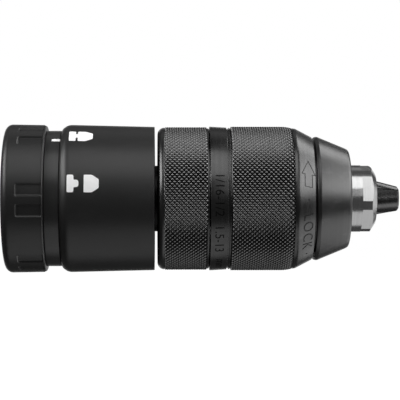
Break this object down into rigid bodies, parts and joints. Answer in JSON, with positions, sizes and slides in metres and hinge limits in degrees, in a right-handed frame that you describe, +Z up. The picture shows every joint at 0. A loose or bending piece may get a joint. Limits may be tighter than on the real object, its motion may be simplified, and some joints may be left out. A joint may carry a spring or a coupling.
{
  "type": "drill chuck",
  "caption": "Keyless drill chuck with two knurled metal sleeves, on a quick-change adapter whose black locking sleeve turns to free it from the machine's spindle.",
  "frame": {"origin": "centre of the adapter's rear face, on the chuck's axis", "axes": "+X along the chuck's axis towards the jaws, +Z up, the seen side faces -Y"},
  "size_m": [0.1252, 0.0472, 0.0472],
  "materials": {
    "black_plastic": "fine moulded black",
    "seal_rubber": "black nitrile",
    "hardened_steel": "hardened, dark",
    "bearing_steel": "polished",
    "spring_steel": "oiled",
    "ground_steel": "ground bright",
    "dark_metal": "dark plated, satin",
    "satin_metal": "blasted satin, dark plated",
    "jaw_steel": "hardened, dark",
    "cage_brass": "machined",
    "white_print": "white symbol"
  },
  "bodies": {
    "adapter": {"rear_ring": "black_plastic", "dust_seal": "seal_rubber", "adapter_spindle": "hardened_steel", "o_ring": "seal_rubber", "index_ring": "black_plastic", "detent_ball": "bearing_steel", "detent_spring": "spring_steel", "wave_spring": "spring_steel", "thrust_washer": "spring_steel", "spindle_circlip": "spring_steel", "chuck_body": "ground_steel", "retaining_screw": "spring_steel", "rear_knurled_ring": "dark_metal", "thrust_race": "bearing_steel", "ratchet_ring": "hardened_steel", "nose_ring": "satin_metal"},
    "lock_sleeve": {"locking_sleeve": "black_plastic", "cam_ring": "hardened_steel"},
    "locking_ball_1": {"locking_ball_1": "bearing_steel"},
    "locking_ball_2": {"locking_ball_2": "bearing_steel"},
    "locking_ball_3": {"locking_ball_3": "bearing_steel"},
    "front_sleeve": {"front_sleeve": "dark_metal", "range_band": "dark_metal", "drive_nut_half_a": "hardened_steel", "drive_nut_half_b": "hardened_steel", "nut_collar": "hardened_steel", "pawl_spring": "spring_steel"},
    "ball_cage": {"ball_cage": "cage_brass", "thrust_balls": "bearing_steel"},
    "jaw_1": {"jaw_1": "jaw_steel"},
    "jaw_2": {"jaw_2": "jaw_steel"},
    "jaw_3": {"jaw_3": "jaw_steel"}
  },
  "joints": [
    {"name": "lock_turn", "type": "hinge", "parent": "adapter", "child": "lock_sleeve", "pos_m": [0.03, 0, 0], "axis": [-1, 0, 0], "range_deg": [0, 45]},
    {"name": "sleeve_turn", "type": "hinge", "parent": "adapter", "child": "front_sleeve", "pos_m": [0.085, 0, 0], "axis": [1, 0, 0], "range_deg": [0, 3240]},
    {"name": "cage_turn", "type": "hinge", "parent": "adapter", "child": "ball_cage", "pos_m": [0.086, 0, 0], "axis": [1, 0, 0], "range_deg": [0, 1620]},
    {"name": "ball_1_lift", "type": "slide", "parent": "adapter", "child": "locking_ball_1", "axis": [0, 0.866, 0.5], "range_m": [0, 0.00146]},
    {"name": "ball_2_lift", "type": "slide", "parent": "adapter", "child": "locking_ball_2", "axis": [0, -0.866, 0.5], "range_m": [0, 0.00146]},
    {"name": "ball_3_lift", "type": "slide", "parent": "adapter", "child": "locking_ball_3", "axis": [0, 0, -1], "range_m": [0, 0.00146]},
    {"name": "jaw_1_slide", "type": "slide", "parent": "adapter", "child": "jaw_1", "axis": [-0.9659, 0.0538, 0.2532], "range_m": [0, 0.02251]},
    {"name": "jaw_2_slide", "type": "slide", "parent": "adapter", "child": "jaw_2", "axis": [-0.9659, -0.2462, -0.08], "range_m": [0, 0.02251]},
    {"name": "jaw_3_slide", "type": "slide", "parent": "adapter", "child": "jaw_3", "axis": [-0.9659, 0.1923, -0.1732], "range_m": [0, 0.02251]}
  ],
  "couplings": [
    {"joint": "cage_turn", "follows": "sleeve_turn", "ratio": 0.5},
    {"joint": "ball_1_lift", "follows": "lock_turn", "m_per_rad": 0.0018335},
    {"joint": "ball_2_lift", "follows": "lock_turn", "m_per_rad": 0.0018335},
    {"joint": "ball_3_lift", "follows": "lock_turn", "m_per_rad": 0.0018335},
    {"joint": "jaw_1_slide", "follows": "sleeve_turn", "m_per_rad": 0.00039789},
    {"joint": "jaw_2_slide", "follows": "sleeve_turn", "m_per_rad": 0.00039789},
    {"joint": "jaw_3_slide", "follows": "sleeve_turn", "m_per_rad": 0.00039789}
  ]
}
